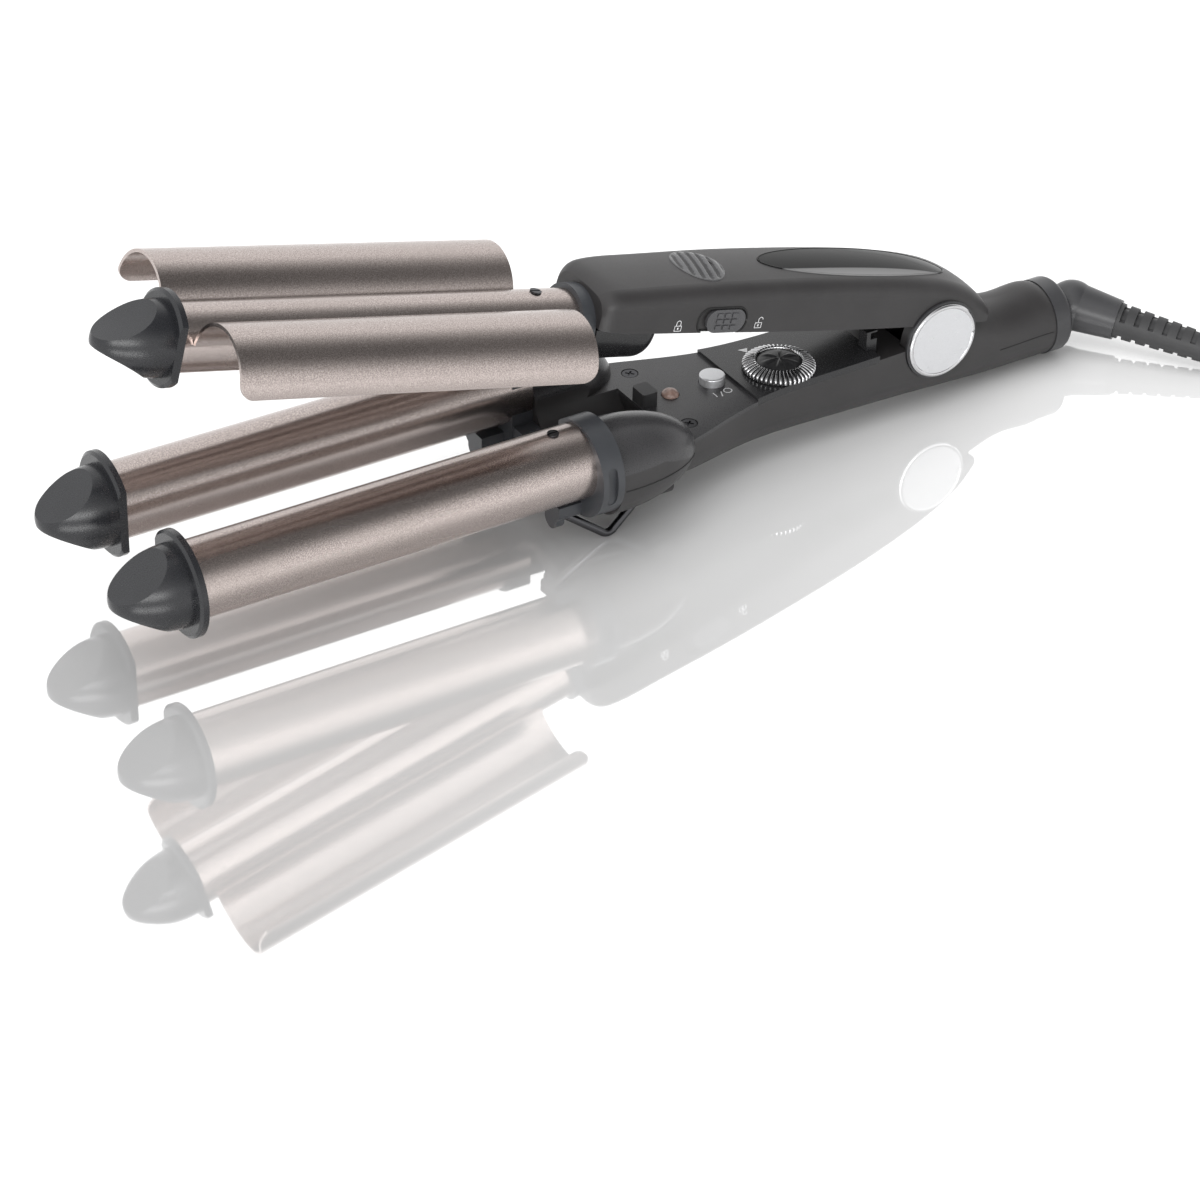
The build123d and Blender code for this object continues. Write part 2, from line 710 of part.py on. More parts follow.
def dial_wheel():
    """Knurled wheel on the temperature control's shaft."""
    teeth = 44
    points = []
    for number in range(2 * teeth):
        angle = math.pi * number / teeth
        radius = DIAL_R if number % 2 else DIAL_R - 0.55
        points.append((radius * math.cos(angle), radius * math.sin(angle)))
    outline = make_face(Polyline(points, close=True))
    wheel = Pos(DIAL_X, DIAL_Y, -3.0) * extrude(outline, amount=2.9)
    bevel = [(0, -3.0), (DIAL_R, -3.0), (DIAL_R, -1.7), (7.4, -0.1), (0, -0.1)]
    bevel = make_face(Plane.XZ * Polyline(bevel, close=True))
    wheel = wheel & Pos(DIAL_X, DIAL_Y, 0) * revolve(bevel, Axis.Z)
    wheel = wheel - rod_z(6.8, -1.0, 1, DIAL_X, DIAL_Y)
    return wheel + rod_z(3.0, -11.3, -2.9, DIAL_X, DIAL_Y)


def dial_cap():
    dome = Pos(DIAL_X, DIAL_Y, -1.0) * scale(Sphere(6.7), by=(1, 1, 0.2))
    return dome & block(190, 220, -15, 10, -1.0, 5)


# ---------------------------------------------------------------- wire feet

def wire_foot(side):
    """Bent wire that folds in under the collars; its two ends turn in lugs."""
    depth = (AXIS_HEIGHT + FOOT_Z - WIRE_R) / math.cos(math.radians(FOOT_SPLAY))
    reach = 13.9
    bend = 3.0
    corner = depth
    for _ in range(20):
        corner = depth + bend * (math.hypot(1, corner / reach) - 1)
    points = [(116.2, 0, 0), (133.5 - reach, 0, 0), (133.5, 0, -corner), (133.5 + reach, 0, 0),
              (154.4, 0, 0)]
    path = FilletPolyline(points, radius=[2.0, bend, 2.0])
    section = Plane(origin=points[0], z_dir=(1, 0, 0)) * Circle(WIRE_R)
    wire = sweep(section, path=path)
    return Pos(0, side * FOOT_Y, FOOT_Z) * Rot(side * FOOT_SPLAY, 0, 0) * wire


# ---------------------------------------------------------------- swivel and cord

def sleeve_direction():
    drop = math.radians(SLEEVE_DROP)
    turn = math.radians(SLEEVE_TURN)
    return Vector(math.cos(drop) * math.cos(turn), -math.cos(drop) * math.sin(turn),
                  -math.sin(drop))


def along_sleeve(distance):
    return Vector(SWIVEL_X, 0, TAIL_Z) + sleeve_direction() * distance


def sleeve_plane(distance):
    return Plane(origin=along_sleeve(distance), z_dir=sleeve_direction())


def tail_collar():
    ring = rod_x(11.7, TAIL_END, 309.4, 0, TAIL_Z)
    ring = fillet(ring.edges().group_by(Axis.X)[-1], 1.6)
    return ring - rod_x(6.1, 300, 312, 0, TAIL_Z)


def swivel_ball():
    """Hub held behind the tail collar, the ball outside it and the cord's neck."""
    hub = rod_x(6.0, 297, 312, 0, TAIL_Z) + rod_x(8.6, 298, 302.6, 0, TAIL_Z)
    ball = Pos(SWIVEL_X, 0, TAIL_Z) * Sphere(8.0)
    ball = ball & block(309.8, 340, -20, 20, -40, 0)
    neck = loft([sleeve_plane(0) * Circle(7.7), sleeve_plane(NECK_END) * Circle(6.3)])
    return hub + ball + neck - rod_x(2.5, 290, 309, 0, TAIL_Z)


def cord_sleeve():
    """Ribbed strain relief that tapers towards the cord."""
    length = SLEEVE_END - NECK_END
    body = loft([sleeve_plane(NECK_END) * Circle(5.6), sleeve_plane(SLEEVE_END) * Circle(4.5)])
    ribs = 6
    for number in range(ribs):
        start = NECK_END + 1.2 + number * (length - 2) / ribs
        for half in (0, 180):
            plane = sleeve_plane(start)
            cutter = Pos(0, 0, 0) * Box(9, 14, 1.7)
            inner = Cylinder(3.9, 4)
            groove = plane.location * Rot(0, 0, half + 90) * Pos(6.9, 0, 0.9) * cutter
            body = body - (groove - plane.location * inner)
    return body


def cord_points():
    """Where the cord lies between the sleeve and the coil, above the table."""
    first = along_sleeve(SLEEVE_END + GAP)
    start = (first.X, first.Y, first.Z + AXIS_HEIGHT)
    return [start, (355.8, -48.7, 4.2), (372.9, -59.0, CORD_R), (396.2, -64.8, CORD_R),
            (420.2, -65.2, CORD_R)]


def cord_end_points():
    """Where the cord lies between the coil and its plug."""
    return [(436.4, -64.9, 16.4), (451.0, -63.4, 14.4), (467.0, -58.5, 10.8), (483.0, -48.0, 6.8),
            (495.0, -33.0, 5.4), (500.6, -15.0, 6.9)]


def tube(points, label):
    runs = []
    for a, b in zip(points, points[1:]):
        runs.append(Vector(*b) - Vector(*a))
    radii = []
    for a, b in zip(runs, runs[1:]):
        turn = math.radians(a.get_angle(b))
        radii.append(0.45 * min(a.length, b.length) / math.tan(turn / 2))
    path = FilletPolyline(points, radius=radii)
    section = Plane(origin=points[0], z_dir=runs[0]) * Circle(CORD_R)
    solid = sweep(section, path=path)
    ratio = solid.volume / (math.pi * CORD_R ** 2 * path.length)
    print(label, "radii", [round(r, 1) for r in radii], "length", round(path.length, 1),
          "volume over section times length", round(ratio, 4))
    return solid


def to_tool_frame(shape):
    """Cord pieces are drawn with Z = 0 on the table."""
    return Pos(0, 0, -AXIS_HEIGHT) * shape


def cord_coil():
    """Outer shape of the wound cord: two layers of turns, three at the rim."""
    ring = rod_z(COIL_R[1], 0, COIL_H, *COIL_CENTRE) - rod_z(COIL_R[0], -1, 30, *COIL_CENTRE)
    ring = ring - rod_z(COIL_STEP_R, COIL_LOW, 30, *COIL_CENTRE)
    rims = ring.edges().filter_by(GeomType.CIRCLE)
    inner_step = rims.filter_by(lambda edge: abs(edge.radius - COIL_STEP_R) < 0.1)
    inner_step = inner_step.group_by(Axis.Z)[0]
    return fillet([edge for edge in rims if edge not in inner_step], 2.5)


def cord_tie():
    """Strap over the coil's turns, on its far side."""
    x, y = COIL_CENTRE
    inner, outer = COIL_R
    profile = [(inner - 1, 0.3), (inner, 0.3), (inner, COIL_LOW), (COIL_STEP_R - 1, COIL_LOW),
               (COIL_STEP_R - 1, COIL_H), (outer, COIL_H), (outer, 0.3), (outer + 1, 0.3),
               (outer + 1, COIL_H + 1), (COIL_STEP_R - 2, COIL_H + 1),
               (COIL_STEP_R - 2, COIL_LOW + 1), (inner - 1, COIL_LOW + 1)]
    outline = Plane(origin=(x - 3.5, y, 0), x_dir=(0, 1, 0), z_dir=(1, 0, 0))
    strap = extrude(outline * make_face(Polyline(profile, close=True)), amount=7)
    return strap - cord_coil()


def plug_place():
    points = cord_end_points()
    last = Vector(*points[-1])
    heading = (last - Vector(*points[-2]))
    flat = Vector(heading.X, heading.Y, 0).normalized()
    return Plane(origin=(last.X, last.Y, 7.2), x_dir=(0, 0, 1), z_dir=flat)


def plug_body():
    place = plug_place()
    rear = place * Ellipse(5.2, 5.2)
    waist = place.offset(14) * Ellipse(6.6, 9.5)
    front = place.offset(34) * Ellipse(6.85, 16.5)
    return loft([rear, waist, front])


def plug_pins():
    place = plug_place()
    pins = []
    for side in (-1, 1):
        spot = place.offset(34) * Pos(0, side * 9.3, 0)
        pins.append(extrude(spot * Circle(2.0), amount=19.0))
    return Compound(children=pins)


# ---------------------------------------------------------------- build

def main():
    shell, deck, panel, tail = lower_casing()
    coil = cord_coil()
    lower = {
        "lower_shell": shell,
        "deck_cover": deck,
        "dial_panel": panel,
        "tail_cover": tail,
        "tail_collar": tail_collar(),
        "collar_bridge": collar_bridge(),
        "catch_block": catch_block(),
        "indicator_lamp": indicator_lamp(),
        "deck_screws": deck_screws(),
        "lower_barrel_screws": lower_barrel_screws(),
        "circuit_board": circuit_board(),
        "power_switch": power_switch(),
        "potentiometer": potentiometer(),
        "thermal_fuse": thermal_fuse(),
        "thermistor": thermistor(),
        "hinge_pin": hinge_pin(),
        "hinge_spring": hinge_spring(),
        "hinge_caps": hinge_caps(),
        "hinge_discs": hinge_discs(),
        "latch_keeper": latch_keeper(),
        "power_button": power_button(),
        "dial_wheel": dial_wheel(),
        "dial_cap": dial_cap(),
        "swivel_ball": swivel_ball(),
        "cord_sleeve": cord_sleeve(),
        "cord": to_tool_frame(tube(cord_points(), "cord") - coil),
        "cord_coil": to_tool_frame(coil),
        "cord_tie": to_tool_frame(cord_tie()),
        "cord_end": to_tool_frame(tube(cord_end_points(), "cord_end") - coil - plug_body()),
        "plug_body": to_tool_frame(plug_body()),
        "plug_pins": to_tool_frame(plug_pins()),
    }
    for side, word in ((-1, "near"), (1, "far")):
        y = side * BARREL_Y
        lower[f"lower_barrel_{word}"] = barrel(LOWER_R, COLLAR_X[1] - 0.4, y)
        lower[f"lower_tip_{word}"] = tip(LOWER_R, 15.2, 11.8, y)
        lower[f"barrel_collar_{word}"] = collar(side)
        lower[f"barrel_holder_{word}"] = holder(LOWER_R, 6.4, y)
        lower[f"heat_spreader_{word}"] = heat_spreader(LOWER_R, y)
        lower[f"ceramic_heater_{word}"] = ceramic_heater(y)
        lower[f"wire_foot_{word}"] = wire_foot(side)
    for name, shape in lower.items():
        save(name, placed_lower(shape))

    upper_shell, name_plate, ribbed_inset = upper_shell_and_trim()
    upper = {
        "upper_shell": upper_shell,
        "name_plate": name_plate,
        "ribbed_inset": ribbed_inset,
        "upper_liner": upper_liner(),
        "upper_screws": upper_screws(),
        "upper_ring": upper_ring(),
        "upper_barrel": barrel(UPPER_R, COLLAR_X[1]),
        "upper_tip": tip(UPPER_R, 13.3, 10.6),
        "upper_holder": holder(UPPER_R, 7.5),
        "upper_spreader": heat_spreader(UPPER_R),
        "upper_heater": ceramic_heater(),
        "curved_plate_near": curved_plate(-1),
        "curved_plate_far": curved_plate(1),
        "lock_slider": lock_slider(),
    }
    for name, shape in upper.items():
        save(name, placed_upper(shape))


main()
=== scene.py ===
import math

import bpy
from mathutils import Matrix, Vector


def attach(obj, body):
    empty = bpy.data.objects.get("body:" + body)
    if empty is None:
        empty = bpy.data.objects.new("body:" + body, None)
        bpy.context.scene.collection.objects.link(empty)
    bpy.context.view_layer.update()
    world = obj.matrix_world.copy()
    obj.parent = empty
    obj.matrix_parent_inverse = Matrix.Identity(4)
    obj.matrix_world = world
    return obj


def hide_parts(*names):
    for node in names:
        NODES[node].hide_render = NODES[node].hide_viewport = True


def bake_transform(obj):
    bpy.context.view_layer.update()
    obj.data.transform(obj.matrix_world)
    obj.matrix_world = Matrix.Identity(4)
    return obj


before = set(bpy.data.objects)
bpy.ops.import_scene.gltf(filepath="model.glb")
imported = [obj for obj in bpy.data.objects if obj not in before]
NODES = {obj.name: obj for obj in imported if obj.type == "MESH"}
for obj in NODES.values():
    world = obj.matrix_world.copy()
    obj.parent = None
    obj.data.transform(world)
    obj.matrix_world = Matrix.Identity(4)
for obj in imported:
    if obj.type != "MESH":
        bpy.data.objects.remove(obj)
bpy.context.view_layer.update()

# The tool frame used below has its origin at the lower barrels' front flanges, on
# their axes, in millimetres. at() turns a point of it into the row frame, in metres.
X_MIDDLE = 154.8
AXIS_HEIGHT = 28.4
HINGE = (256.5, -4.4)
OPEN_ANGLE = math.radians(13.9)


def at(x, y, z):
    return Vector(((x - X_MIDDLE) / 1000, y / 1000, (z + AXIS_HEIGHT) / 1000))


def at_open(x, y, z):
    """A point of the upper arm, given as if the jaws were shut."""
    dx, dz = x - HINGE[0], z - HINGE[1]
    c, s = math.cos(OPEN_ANGLE), math.sin(OPEN_ANGLE)
    return at(HINGE[0] + dx * c + dz * s, y, HINGE[1] - dx * s + dz * c)


def on_floor(x, y, z):
    return Vector(((x - X_MIDDLE) / 1000, y / 1000, z / 1000))


# ------------------------------------------------------------------ camera

EYE = Vector((-0.51453, -0.78559, 0.59734))
YAW = math.radians(32.02115)      # to the right of +Y
PITCH = math.radians(33.85293)    # downwards
ROLL = math.radians(1.18109)
LENS_MM = 113.95
SHIFT = (0.03545, -0.02672)


def add_camera():
    level = Vector((math.cos(YAW), -math.sin(YAW), 0))
    looking = Vector((math.sin(YAW) * math.cos(PITCH), math.cos(YAW) * math.cos(PITCH),
                      -math.sin(PITCH)))
    upright = level.cross(looking)
    right = math.cos(ROLL) * level + math.sin(ROLL) * upright
    upward = math.cos(ROLL) * upright - math.sin(ROLL) * level
    data = bpy.data.cameras.new("camera")
    data.sensor_width = 36.0
    data.lens = LENS_MM
    data.shift_x, data.shift_y = SHIFT
    data.clip_start, data.clip_end = 0.01, 50.0
    camera = bpy.data.objects.new("camera", data)
    bpy.context.scene.collection.objects.link(camera)
    placed = Matrix((right, upward, -looking)).transposed().to_4x4()
    placed.translation = EYE
    camera.matrix_world = placed
    bpy.context.scene.camera = camera


add_camera()


# ------------------------------------------------------------------ materials

class Nodes:
    """A material's node tree, with short calls for the nodes used here."""

    def __init__(self, name):
        self.material = bpy.data.materials.new(name)
        self.material.use_nodes = True
        self.tree = self.material.node_tree
        self.shader = self.tree.nodes["Principled BSDF"]
        self.place = self.add("ShaderNodeTexCoord").outputs["Object"]

    def add(self, kind):
        return self.tree.nodes.new(kind)

    def link(self, output, target):
        self.tree.links.new(output, target)

    def set(self, **values):
        for key, value in values.items():
            self.shader.inputs[key.replace("_", " ")].default_value = value

    def noise(self, size, detail=3.0, roughness=0.55, stretch=(1, 1, 1)):
        """Noise whose features are about size metres across."""
        mapping = self.add("ShaderNodeMapping")
        mapping.inputs["Scale"].default_value = stretch
        texture = self.add("ShaderNodeTexNoise")
        texture.inputs["Scale"].default_value = 1.0 / size
        texture.inputs["Detail"].default_value = detail
        texture.inputs["Roughness"].default_value = roughness
        self.link(self.place, mapping.inputs["Vector"])
        self.link(mapping.outputs["Vector"], texture.inputs["Vector"])
        return texture.outputs["Fac"]

    def ramp(self, value, stops):
        """Colours or greys at positions along a value."""
        node = self.add("ShaderNodeValToRGB")
        ramp = node.color_ramp
        while len(ramp.elements) < len(stops):
            ramp.elements.new(0.5)
        for element, (position, colour) in zip(ramp.elements, stops):
            element.position = position
            if not isinstance(colour, tuple):
                colour = (colour, colour, colour)
            element.color = (*colour, 1)
        self.link(value, node.inputs["Fac"])
        return node.outputs["Color"]

    def bump(self, value, height, strength):
        node = self.add("ShaderNodeBump")
        node.inputs["Distance"].default_value = height
        node.inputs["Strength"].default_value = strength
        self.link(value, node.inputs["Height"])
        return node.outputs["Normal"]


def colour_between(low, high, share):
    return tuple(a + (b - a) * share for a, b in zip(low, high))


def coated_metal(name, dark, light, roughness):
    """Ceramic-coated aluminium with a fine pearl and slightly uneven gloss."""
    m = Nodes(name)
    m.set(Metallic=1.0)
    pearl = m.noise(0.00028, 2.0)
    base = m.ramp(pearl, [(0.36, dark), (0.5, colour_between(dark, light, 0.45)), (0.66, light)])
    m.link(base, m.shader.inputs["Base Color"])
    cloudy = m.noise(0.02, 3.0, stretch=(0.25, 1, 1))
    m.link(m.ramp(cloudy, [(0.3, roughness - 0.03), (0.7, roughness + 0.04)]),
           m.shader.inputs["Roughness"])
    m.link(m.bump(pearl, 0.00001, 0.5), m.shader.inputs["Normal"])
    return m.material


def moulded(name, colour, roughness, grain=0.00022, height=0.00002, spread=0.12, metallic=0.0):
    """Moulded plastic with a spark-eroded grain and slight unevenness."""
    m = Nodes(name)
    m.set(Metallic=metallic)
    uneven = m.noise(0.012, 3.0)
    darker = tuple(c * (1 - spread) for c in colour)
    lighter = tuple(c * (1 + spread) for c in colour)
    m.link(m.ramp(uneven, [(0.3, darker), (0.7, lighter)]), m.shader.inputs["Base Color"])
    texture = m.noise(grain, 2.0)
    m.link(m.ramp(texture, [(0.3, roughness - 0.05), (0.7, roughness + 0.05)]),
           m.shader.inputs["Roughness"])
    m.link(m.bump(texture, height, 0.6), m.shader.inputs["Normal"])
    return m.material


def polished(name, colour, roughness, metallic=1.0, streak=(1, 1, 1)):
    """Plated or brushed metal with fine uneven polish."""
    m = Nodes(name)
    m.set(Metallic=metallic)
    fine = m.noise(0.0006, 4.0, stretch=streak)
    m.link(m.ramp(fine, [(0.3, tuple(c * 0.94 for c in colour)), (0.7, colour)]),
           m.shader.inputs["Base Color"])
    m.link(m.ramp(fine, [(0.3, roughness * 0.8), (0.7, roughness * 1.3)]),
           m.shader.inputs["Roughness"])
    return m.material


PLATE_HALF_WIDTH = 0.0094


def gloss_black_painted_reflection(reflection):
    """Gloss black with a grey crescent along the near edge of the plate: a painted reflection."""
    m = Nodes("gloss black lacquer with painted reflection")
    m.set(Roughness=0.09, Specular_IOR_Level=reflection)
    split = m.add("ShaderNodeSeparateXYZ")
    m.link(m.place, split.inputs[0])
    across = m.add("ShaderNodeMapRange")
    across.inputs["From Min"].default_value = -PLATE_HALF_WIDTH
    across.inputs["From Max"].default_value = 0.0
    m.link(split.outputs["Y"], across.inputs["Value"])
    # painted reflection: grey along the plate's near edge, fading to black before its middle
    m.link(m.ramp(across.outputs["Result"], [(0.0, 0.17), (0.42, 0.12), (0.47, 0.006)]),
           m.shader.inputs["Base Color"])
    return m.material


def lamp_lens():
    m = Nodes("rose lens")
    m.set(Roughness=0.22, Transmission_Weight=0.25, IOR=1.49)
    inside = m.noise(0.0015, 2.0)
    m.link(m.ramp(inside, [(0.3, (0.27, 0.17, 0.14)), (0.7, (0.50, 0.36, 0.31))]),
           m.shader.inputs["Base Color"])
    return m.material


BARREL = coated_metal("taupe ceramic coating", (0.375, 0.320, 0.300), (0.61, 0.54, 0.51), 0.25)
CASING = moulded("anthracite soft touch", (0.019, 0.0178, 0.0182), 0.44)
DECK = moulded("anthracite deck", (0.030, 0.0295, 0.031), 0.30, height=0.00001)
COLLAR = moulded("bluish grey collar plastic", (0.030, 0.032, 0.036), 0.38)
TIP = moulded("dark tip plastic", (0.012, 0.0125, 0.0145), 0.27, grain=0.0004, height=0.00003)
SATIN_BLACK = moulded("satin black plastic", (0.030, 0.030, 0.032), 0.33)
SLIDER = moulded("grey slider", (0.055, 0.055, 0.058), 0.24)
RIB_VALLEY_SHADE = moulded("painted shade between the ribs", (0.012, 0.012, 0.013), 0.4)
CAP = moulded("black dial cap", (0.022, 0.022, 0.023), 0.36)
# painted shade for the valleys between the dial's knurls
KNURL_VALLEY_SHADE = moulded("painted shade between the knurls", (0.05, 0.05, 0.052), 0.35, metallic=0.6)
RIBBED = moulded("grey ribbed inset", (0.062, 0.062, 0.064), 0.26, height=0.000008)
GLOSS_PAINTED_REFLECTION = gloss_black_painted_reflection(0.05)
DISC = polished("satin silver disc", (0.66, 0.665, 0.68), 0.34, metallic=0.75)
CHROME = polished("chrome", (0.62, 0.62, 0.63), 0.16)
DARK_STEEL = polished("dark bright steel", (0.085, 0.085, 0.09), 0.16, streak=(0.2, 1, 1))
SCREW = polished("blackened screw", (0.07, 0.07, 0.075), 0.35)
LENS = lamp_lens()
RUBBER = moulded("black rubber", (0.024, 0.024, 0.025), 0.50)
CORD_SKIN = moulded("cord sheath", (0.016, 0.016, 0.017), 0.42, grain=0.0005)
CERAMIC = moulded("fired ceramic", (0.72, 0.70, 0.66), 0.6)
ALLOY = polished("bare extruded aluminium", (0.75, 0.75, 0.76), 0.35, streak=(0.05, 1, 1))
BOARD = moulded("coated board", (0.03, 0.12, 0.05), 0.35)
NICKEL = polished("nickel plate", (0.72, 0.70, 0.66), 0.2)
PRINT = moulded("light grey print", (0.70, 0.70, 0.71), 0.6, spread=0.05)
PANEL = moulded("satin black panel", (0.015, 0.015, 0.016), 0.24, height=0.000008)
SEAM_SHADE = moulded("shadow in a seam", (0.008, 0.008, 0.008), 0.8, spread=0.05)

FINISHES = {
    CASING: ["lower_shell", "tail_cover", "upper_shell"],
    RIBBED: ["ribbed_inset"],
    COLLAR: ["barrel_collar_near", "barrel_collar_far", "collar_bridge", "upper_ring"],
    TIP: ["lower_tip_near", "lower_tip_far", "upper_tip", "barrel_holder_near",
          "barrel_holder_far", "upper_holder"],
    BARREL: ["lower_barrel_near", "lower_barrel_far", "upper_barrel", "curved_plate_near",
             "curved_plate_far"],
    GLOSS_PAINTED_REFLECTION: ["name_plate"],
    PANEL: ["dial_panel", "upper_liner", "latch_keeper"],
    DECK: ["deck_cover"],
    SATIN_BLACK: ["swivel_ball", "tail_collar", "hinge_caps"],
    CAP: ["dial_cap"],
    SLIDER: ["lock_slider"],
    DISC: ["hinge_discs", "power_button"],
    CHROME: ["dial_wheel"],
    DARK_STEEL: ["hinge_pin", "hinge_spring", "wire_foot_near", "wire_foot_far"],
    SCREW: ["deck_screws", "lower_barrel_screws", "upper_screws"],
    LENS: ["indicator_lamp"],
    RUBBER: ["catch_block", "cord", "cord_coil", "cord_end", "cord_sleeve", "cord_tie", "plug_body"],
    ALLOY: ["heat_spreader_near", "heat_spreader_far", "upper_spreader"],
    CERAMIC: ["ceramic_heater_near", "ceramic_heater_far", "upper_heater", "thermal_fuse",
              "thermistor"],
    BOARD: ["circuit_board", "power_switch", "potentiometer"],
    NICKEL: ["plug_pins"],
}
for material, names in FINISHES.items():
    for name in names:
        for material_slot in NODES[name].material_slots:
            material_slot.material = material


# ------------------------------------------------------------------ mesh helpers

def new_mesh(name, points, faces, material, smooth=True):
    mesh = bpy.data.meshes.new(name)
    mesh.from_pydata([tuple(p) for p in points], [], faces)
    mesh.validate()
    mesh.update()
    for polygon in mesh.polygons:
        polygon.use_smooth = smooth
    piece = bpy.data.objects.new(name, mesh)
    bpy.context.scene.collection.objects.link(piece)
    mesh.materials.append(material)
    return piece


def tube_mesh(name, line, radius, material, sides=16):
    """A closed tube round a line of points, turning with it and never twisting."""
    points, faces = [], []
    ahead = (line[1] - line[0]).normalized()
    across = ahead.orthogonal().normalized()
    for number, point in enumerate(line):
        low = line[max(number - 1, 0)]
        high = line[min(number + 1, len(line) - 1)]
        turned = (high - low).normalized()
        across = (ahead.rotation_difference(turned) @ across).normalized()
        ahead = turned
        side = ahead.cross(across)
        for corner in range(sides):
            angle = 2 * math.pi * corner / sides
            points.append(point + radius * (math.cos(angle) * across + math.sin(angle) * side))
    for ring in range(len(line) - 1):
        for corner in range(sides):
            a = ring * sides + corner
            b = ring * sides + (corner + 1) % sides
            faces.append((a, b, b + sides, a + sides))
    last = (len(line) - 1) * sides
    faces.append(tuple(reversed(range(sides))))
    faces.append(tuple(last + corner for corner in range(sides)))
    return new_mesh(name, points, faces, material)


def nurbs_line(name, points):
    """The smooth line of a NURBS curve through its control points' hull."""
    curve = bpy.data.curves.new(name, "CURVE")
    curve.dimensions = "3D"
    curve.resolution_u = 6
    spline = curve.splines.new("NURBS")
    spline.points.add(len(points) - 1)
    for target, point in zip(spline.points, points):
        target.co = (*point, 1)
    spline.order_u = 3
    spline.use_endpoint_u = True
    holder = bpy.data.objects.new(name, curve)
    bpy.context.scene.collection.objects.link(holder)
    depsgraph = bpy.context.evaluated_depsgraph_get()
    mesh = bpy.data.meshes.new_from_object(holder.evaluated_get(depsgraph))
    line = [vertex.co.copy() for vertex in mesh.vertices]
    bpy.data.meshes.remove(mesh)
    bpy.data.objects.remove(holder)
    return line


# ------------------------------------------------------------------ cord

CORD_D = 0.007
COIL_CENTRE = (430.4, -16.0)
COIL_OUTER, COIL_INNER = 49.0, 28.0
LAYERS = (3.5, 10.4, 17.3)
TURN_POINTS = 16


def coil_points():
    """Inwards on the table, outwards on top of that, then once round the rim on top."""
    points = []
    x, y = COIL_CENTRE
    pitch = (COIL_OUTER - COIL_INNER) / 3

    def add(turns_done, radius, height):
        angle = 2 * math.pi * turns_done - math.pi / 2
        points.append(on_floor(x + radius * math.cos(angle), y + radius * math.sin(angle), height))

    for number in range(8 * TURN_POINTS):
        done = number / TURN_POINTS
        if done < 3:
            add(done, COIL_OUTER - pitch * done, LAYERS[0])
        elif done < 4:
            add(done, COIL_INNER, LAYERS[0] + (LAYERS[1] - LAYERS[0]) * min(1, 4 * (done - 3)))
        elif done < 7:
            add(done, COIL_INNER + pitch * (done - 4), LAYERS[1])
        else:
            rise = min(1, max(0, 4 * (done - 7.12)))
            add(done, COIL_OUTER, LAYERS[1] + (LAYERS[2] - LAYERS[1]) * rise)
    return points


cord_route = [on_floor(343.95, -35.10, 6.16), on_floor(355.8, -48.7, 4.2),
              on_floor(372.9, -59.0, 3.5), on_floor(396.2, -64.8, 3.5),
              on_floor(420.2, -65.2, 3.5)]
cord_route += coil_points()
cord_route += [on_floor(430.4, -65.0, 17.3), on_floor(436.4, -64.9, 16.4),
               on_floor(451.0, -63.4, 14.4), on_floor(467.0, -58.5, 10.8),
               on_floor(483.0, -48.0, 6.8), on_floor(495.0, -33.0, 5.4),
               on_floor(500.6, -15.0, 6.9)]
cord_line = nurbs_line("cord route", cord_route)
cord = tube_mesh("mains_cord", cord_line, CORD_D / 2, CORD_SKIN)
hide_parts("cord", "cord_coil", "cord_end")
tuple(cord_line[0])
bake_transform(cord)
tuple(cord_line[0])
[tuple(p) for p in cord_line]


# ------------------------------------------------------------------ surface helpers

def first_hit(names, start, toward):
    """The first point of these CAD pieces on the way from start toward a point."""
    way = (toward - start).normalized()
    found = []
    for name in names:
        hit, place, _, _ = NODES[name].ray_cast(start, way)
        if hit:
            found.append(((place - start).length, place))
    if not found:
        raise ValueError(f"nothing of {names} is met from {tuple(start)}")
    return min(found, key=lambda item: item[0])[1]


def on_arm_top(x, y):
    return first_hit(["upper_shell"], at_open(x, y, 60), at_open(x, y, 0))


def on_arm_side(x, z):
    return first_hit(["upper_shell"], at_open(x, -60, z), at_open(x, 0, z))


def patch(name, shapes, place, body):
    """Flat printed shapes: each is a polygon in local millimetres, set by place(u, v)."""
    points, faces = [], []
    for shape in shapes:
        first = len(points)
        points += [place(u, v) for u, v in shape]
        faces.append(tuple(range(first, len(points))))
    piece = new_mesh(name, points, faces, PRINT, smooth=False)
    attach(piece, body)


def band(line, width):
    """A line of (u, v) points as short quadrilaterals of that width."""
    shapes = []
    for (u0, v0), (u1, v1) in zip(line, line[1:]):
        length = math.hypot(u1 - u0, v1 - v0)
        du, dv = (v0 - v1) / length * width / 2, (u1 - u0) / length * width / 2
        shapes.append([(u0 + du, v0 + dv), (u0 - du, v0 - dv), (u1 - du, v1 - dv), (u1 + du, v1 + dv)])
    return shapes


def arc(u, v, radius, first, last, steps=14):
    turned = [math.radians(first + (last - first) * n / steps) for n in range(steps + 1)]
    return [(u + radius * math.cos(t), v + radius * math.sin(t)) for t in turned]


# ------------------------------------------------------------------ printed marks

PROUD = 0.00006
PADLOCK_Z = 4.6


